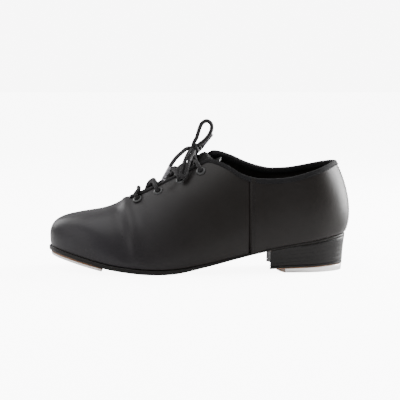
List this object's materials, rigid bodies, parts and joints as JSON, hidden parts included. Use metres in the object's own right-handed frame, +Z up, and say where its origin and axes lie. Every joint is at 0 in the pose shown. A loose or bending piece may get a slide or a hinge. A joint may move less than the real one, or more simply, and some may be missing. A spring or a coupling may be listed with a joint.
{
  "type": "tap shoe",
  "caption": "Left lace-up oxford tap shoe in smooth black leather, with a toe tap, a heel tap, a low stacked heel and a cord lace tied in a bow.",
  "frame": {"origin": "on the ground, under the middle of the shoe's bounding box, leaving out the free parts of the lace", "axes": "+X from the toe to the heel, +Y towards the inner (medial) side, +Z up; the ground is z = 0"},
  "size_m": [0.2915, 0.0951, 0.1452],
  "materials": {
    "black_leather": "smooth, polished, satin",
    "tongue_leather": "smooth, satin",
    "black_lining": "smooth lining, slight sheen",
    "binding_tape": "matte woven tape",
    "stiffener_board": "matte fibre stiffener",
    "insole_board": "matte board",
    "fibre_board": "matte fibre board",
    "sole_leather": "inked and waxed edge, tan underside",
    "tan_leather": "natural tan, matte",
    "heel_edge": "stacked heel, inked and waxed black",
    "tap_aluminium": "tumbled cast aluminium",
    "plain_steel": "bright steel",
    "black_enamel": "glossy black enamel, worn bright at the rim",
    "lace_cord": "round waxed cord",
    "aglet_plastic": "clear plastic tip over the cord"
  },
  "bodies": {
    "shoe": {"vamp": "black_leather", "vamp_lining": "black_lining", "quarter_lateral": "black_leather", "quarter_medial": "black_leather", "quarter_lining": "black_lining", "toe_puff": "stiffener_board", "heel_counter": "stiffener_board", "topline_binding": "binding_tape", "insole_board": "insole_board", "sock_lining": "black_lining", "bottom_filler": "fibre_board", "shank": "plain_steel", "outsole": "sole_leather", "toe_soundboard": "fibre_board", "toe_tap": "tap_aluminium", "heel_block": "heel_edge", "heel_top_lift": "tan_leather", "heel_tap": "tap_aluminium", "toe_tap_screw_1": "plain_steel", "toe_tap_screw_2": "plain_steel", "toe_tap_screw_3": "plain_steel", "heel_tap_screw_1": "plain_steel", "heel_tap_screw_2": "plain_steel", "heel_tap_screw_3": "plain_steel", "heel_nail_1": "plain_steel", "heel_nail_2": "plain_steel", "heel_nail_3": "plain_steel", "heel_nail_4": "plain_steel", "eyelet_lateral_1": "black_enamel", "eyelet_lateral_2": "black_enamel", "eyelet_lateral_3": "black_enamel", "eyelet_lateral_4": "black_enamel", "eyelet_medial_1": "black_enamel", "eyelet_medial_2": "black_enamel", "eyelet_medial_3": "black_enamel", "eyelet_medial_4": "black_enamel", "lace_laced": "lace_cord", "lace_knot": "lace_cord", "lace_loop_upright": "lace_cord", "lace_loop_drooping": "lace_cord", "lace_end_front": "lace_cord", "lace_end_back": "lace_cord", "aglet_front": "aglet_plastic", "aglet_back": "aglet_plastic"},
    "tongue": {"tongue": "tongue_leather"}
  },
  "joints": [
    {"name": "tongue_fold", "type": "hinge", "parent": "shoe", "child": "tongue", "pos_m": [-0.0797, 0.0055, 0.053], "axis": [0, 1, 0], "range_deg": [0, 12], "stiffness_Nm_per_rad": 0.6, "springref_deg": -1.72}
  ]
}
